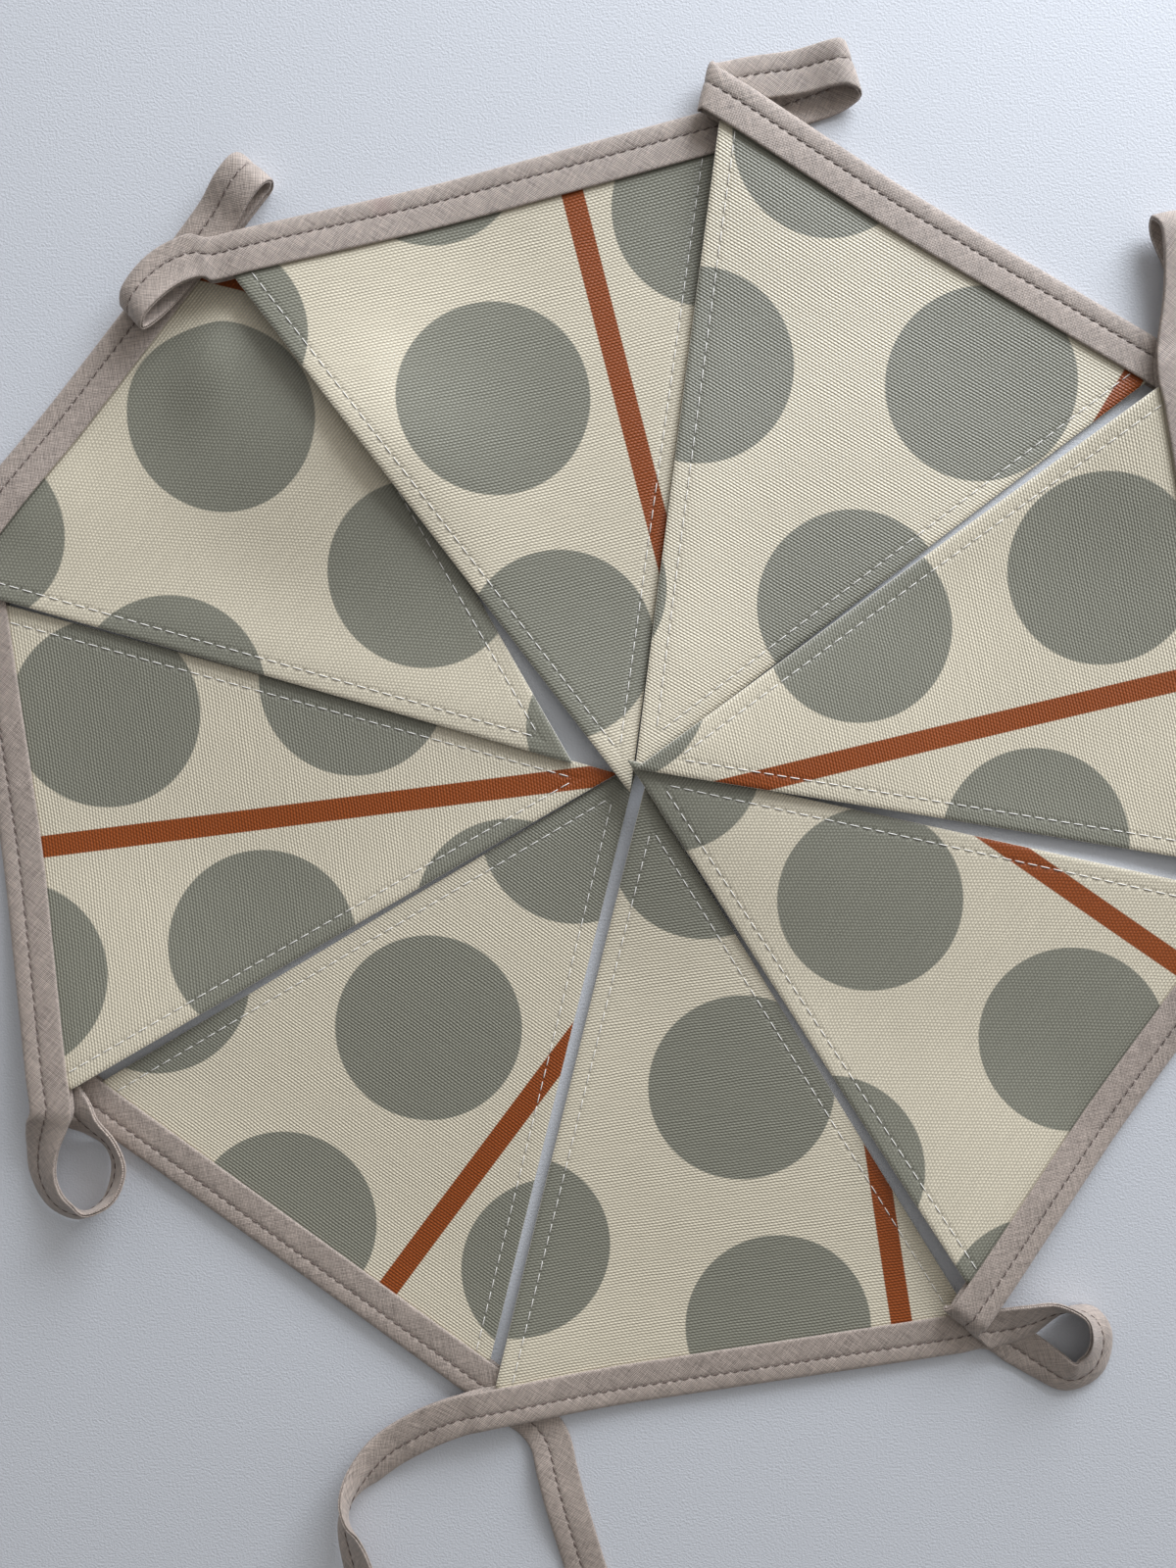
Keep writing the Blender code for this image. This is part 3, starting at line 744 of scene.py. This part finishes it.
def printed_cotton():
    """Ribbed cotton: beads of yarn along ribs that run with the tape, the print, and the seams' needle holes. Its
    colour holds painted shade: darker in the gaps between the ribs and beads, in the seams' troughs and in the needle
    holes.
    """
    finish, start, shader = new_finish("printed_ribbed_cotton")
    across, down, place = mapped(start, "cloth")
    wander = place.noise(0.09, 2) * 0.9
    ribs = (down + wander).cosine(RIB)
    beads = (across + place.noise(0.35, 1) * 0.7).cosine(BEAD) * (down + wander).cosine(2 * RIB)
    weave = ribs * 0.5 + beads * 0.35
    slub = place.add("ShaderNodeMapping", (), {"Vector": place, "Scale": (0.12, 1.1, 1.0)}).noise(1.0, 3)
    edge = ((1 - down / FLAG_DROP) * (FLAG_BASE / 2) - across.size()) * EDGE_SLANT
    along = (down / EDGE_SLANT).modulo(FLAG_STITCH) - (FLAG_STITCH + FLAG_STITCH_LENGTH) / 2
    from_seam = edge - SEAM_INSIDE
    # Painted shade: the seam's trough and the needle holes are darkened in the colour below, besides being sunk in the
    # bump.
    trough = from_seam.size().rise(1.5, 0.2)
    hole = (from_seam * from_seam + along * along).rise(0.35, 0.12)
    # Painted shade: the weave darkens the colour in the gaps between the ribs and beads and lightens their crests; the
    # slub is the yarn's own tone.
    shade = 1 + weave * 0.34 + (slub - 0.5) * 0.22 - trough * 0.03 - hole * 0.12
    base = printed_design(start).tinted(shade)
    fibres = place.noise(2.6, 3)
    height = weave * 0.15 + (slub - 0.5) * 0.08 - trough * 0.14 - hole * 0.1 + (fibres - 0.5) * 0.05
    finish_with(start, shader, base, 0.46 + (fibres - 0.5) * 0.2, height, 0.8)
    shader.inputs["Specular IOR Level"].default_value = 0.5
    shader.inputs["Sheen Weight"].default_value = 0.08
    shader.inputs["Sheen Roughness"].default_value = 0.5
    return finish


def raw_edge():
    """The two layers' cut edges: pale fibres, a shade duller than the face."""
    finish, start, shader = new_finish("raw_cotton_edge")
    _, _, place = mapped(start, "cloth")
    fibres = place.noise(3.0, 3)
    base = fibres.over(colour(0.50, 0.46, 0.38), colour(0.86, 0.83, 0.76))
    finish_with(start, shader, base, None, (fibres - 0.5) * 0.2)
    shader.inputs["Roughness"].default_value = 0.85
    return finish


# Marks on the tape: centre, radii where each is full and where it ends, strength, colour
STAINS = (
    ((-0.0717, 0.2456, 0.002), 0.0008, 0.0055, 0.40, colour(0.36, 0.20, 0.19)),
    ((-0.0226, -0.1128, 0.003), 0.0003, 0.0008, 0.8, colour(0.08, 0.05, 0.04)),
)
TAPE_TAUPE = colour(0.43, 0.36, 0.315)


def bias_cotton():
    """The tape's fine cotton cut on the bias: pale and dark yarns at 45 degrees each way, with needle holes. The seam's
    groove and the needle holes are darkened in its colour as painted shade.
    """
    finish, start, shader = new_finish("taupe_bias_cotton")
    along, girth, place = mapped(start, "cloth")
    turned = {}
    for way, sign in (("warp", 1), ("weft", -1)):
        inputs = {"Vector": place, "Rotation": (0, 0, math.radians(45 * sign))}
        turned[way] = place.add("ShaderNodeMapping", (), inputs)
    streaks = []
    yarns = []
    for way in turned.values():
        streaks.append(way.add("ShaderNodeMapping", (), {"Vector": way, "Scale": (0.16, 2.3, 1.0)}).noise(1.0, 3, 0.6))
        crossing = way.add("ShaderNodeSeparateXYZ", (), {0: way}).beside("Y")
        yarns.append(crossing.cosine(0.42))
    patches = place.noise(0.05, 2)
    near = 12.5 - (girth - 12.5).size() - SEAM_ON_TAPE
    step = (along - SEAM_START).modulo(TAPE_STITCH) - (TAPE_STITCH + TAPE_STITCH_LENGTH) / 2
    # Painted shade: the needle holes and the seam's groove darken the colour, besides being sunk in the bump.
    hole = (near * near + step * step).rise(0.22, 0.06)
    groove = near.size().rise(0.8, 0.1)
    shade = 1 + (streaks[0] - 0.5) * 1.45 + (streaks[1] - 0.5) * 1.45 + (patches - 0.5) * 0.25
    shade = shade + (yarns[0] + yarns[1]) * 0.10 - groove * 0.04 - hole * 0.25
    base = colour_of(start, TAPE_TAUPE).tinted(shade)
    spot = start.add("ShaderNodeTexCoord").beside("Object")
    for centre, near_by, far, strength, stain in STAINS:
        reach = spot.add("ShaderNodeVectorMath", {"operation": "DISTANCE"}, {0: spot, 1: centre}, "Value")
        base = (reach.rise(far, near_by) * strength).over(base, stain)
    height = (yarns[0] + yarns[1]) * 0.04 + (streaks[0] + streaks[1]) * 0.16 - groove * 0.16 - hole * 0.2
    finish_with(start, shader, base, 0.52 + (streaks[0] - 0.5) * 0.3, height, 0.7)
    shader.inputs["Sheen Weight"].default_value = 0.2
    shader.inputs["Sheen Roughness"].default_value = 0.4
    return finish


def colour_of(start, value):
    """A plain colour as a socket, so that it can be tinted."""
    return start.add("ShaderNodeMix", {"data_type": "RGBA"}, {0: 0.0, 6: value, 7: value}, 2)


def thread(name, value, variation):
    """Spun sewing thread, lighter and darker along its twist."""
    finish, start, shader = new_finish(name)
    place = start.add("ShaderNodeTexCoord").beside("Object")
    twist = place.noise(900.0, 2)
    base = colour_of(start, value).tinted(1 + (twist - 0.5) * variation)
    finish_with(start, shader, base)
    shader.inputs["Roughness"].default_value = 0.55
    return finish


def table_finish():
    """The white table's satin lacquer, with a very fine orange peel."""
    finish, start, shader = new_finish("white_table_lacquer")
    place = start.add("ShaderNodeTexCoord").beside("Object")
    peel = place.noise(1500.0, 2)
    cloud = place.noise(6.0, 2)
    base = colour_of(start, colour(0.70, 0.725, 0.772)).tinted(1 + (cloud - 0.5) * 0.03)
    finish_with(start, shader, base, 0.65 + (cloud - 0.5) * 0.08, peel * 0.35, 0.5)
    shader.inputs["Specular IOR Level"].default_value = 0.18
    return finish


def make_table():
    """The table top under the bunting, with the object's underside on it."""
    bpy.ops.object.select_all(action="DESELECT")
    bpy.ops.mesh.primitive_plane_add(size=TABLE_SIZE, location=(0, 0, 0))
    table = bpy.context.object
    table.name = "table_top"
    table.data.materials.append(table_finish())
    return table


def dress(table):
    """Every cloth sheet and seam, each attached to the root body, with the imported solids hidden."""
    cotton, edge, white = printed_cotton(), raw_edge(), thread("white_thread", colour(0.86, 0.84, 0.80), 0.3)
    bias, brown = bias_cotton(), thread("brown_thread", colour(0.12, 0.085, 0.075), 0.6)
    trees = {number: tree_of(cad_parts[f"flag_{number}"]) for number in FLAGS}
    for number in FLAGS:
        pennant = make_pennant(number, trees[number])
        pennant.data.materials.append(cotton)
        pennant.data.materials.append(edge)
        seams = make_flag_seams(number, pennant)
        seams.data.materials.append(white)
        for piece in (pennant, seams):
            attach(piece, "root")
        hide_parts(f"flag_{number}")
    stations, lengths = tape_stations(trees)
    binding = make_tape(stations, lengths)
    binding.data.materials.append(bias)
    seam = make_tape_seam(stations, lengths)
    seam.data.materials.append(brown)
    for piece in (binding, seam):
        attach(piece, "root")
    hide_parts("binding_tape")
    lengths[-1] * MM


def add_lamp(name, place, size, energy, tint):
    """A rectangular lamp aimed at the bunting."""
    light = bpy.data.lights.new(name, "AREA")
    light.shape = "RECTANGLE"
    light.size, light.size_y = size
    light.energy = energy
    light.color = tint
    lamp = bpy.data.objects.new(name, light)
    lamp.location = place
    lamp.rotation_euler = (-lamp.location).to_track_quat("-Z", "Y").to_euler()
    bpy.context.scene.collection.objects.link(lamp)


def make_lights():
    """Daylight from a window beyond the top of the picture, and the white room's fill."""
    add_lamp("window", (0.48, 0.92, 0.38), (0.7, 0.4), 11.5, (0.93, 0.98, 1.06))
    room = bpy.data.worlds.new("white_room")
    room.use_nodes = True
    walls = room.node_tree.nodes["Background"]
    walls.inputs["Color"].default_value = colour(1.0, 0.985, 0.975)
    start = Socket(room.node_tree, walls.outputs[0])
    sideways = start.add("ShaderNodeTexCoord").beside("Generated")
    parts = start.add("ShaderNodeSeparateXYZ", (), {0: sideways})
    ahead, up = parts.beside("Y") * 0.88 + parts * 0.47, parts.beside("Z")
    glow = (ahead * 0.5 + 0.5) * (ahead * 0.5 + 0.5) * (1 - up.size() * 0.8) * WALL_GLOW + CEILING_GLOW
    room.node_tree.links.new(glow.output, walls.inputs["Strength"])
    bpy.context.scene.world = room
    bpy.context.scene.view_settings.view_transform = "Standard"


def make_camera():
    """The photograph's view, nearly straight down."""
    lens = bpy.data.cameras.new("camera")
    lens.lens = 27.05
    lens.sensor_width = 36.0
    lens.clip_start = 0.01
    lens.clip_end = 10.0
    camera = bpy.data.objects.new("camera", lens)
    camera.location = (-0.01078, 0.09508, 0.3501)
    camera.rotation_euler = (-0.046470, 0.0040491, 0)
    bpy.context.scene.collection.objects.link(camera)
    bpy.context.scene.camera = camera


dress(make_table())
make_lights()
make_camera()
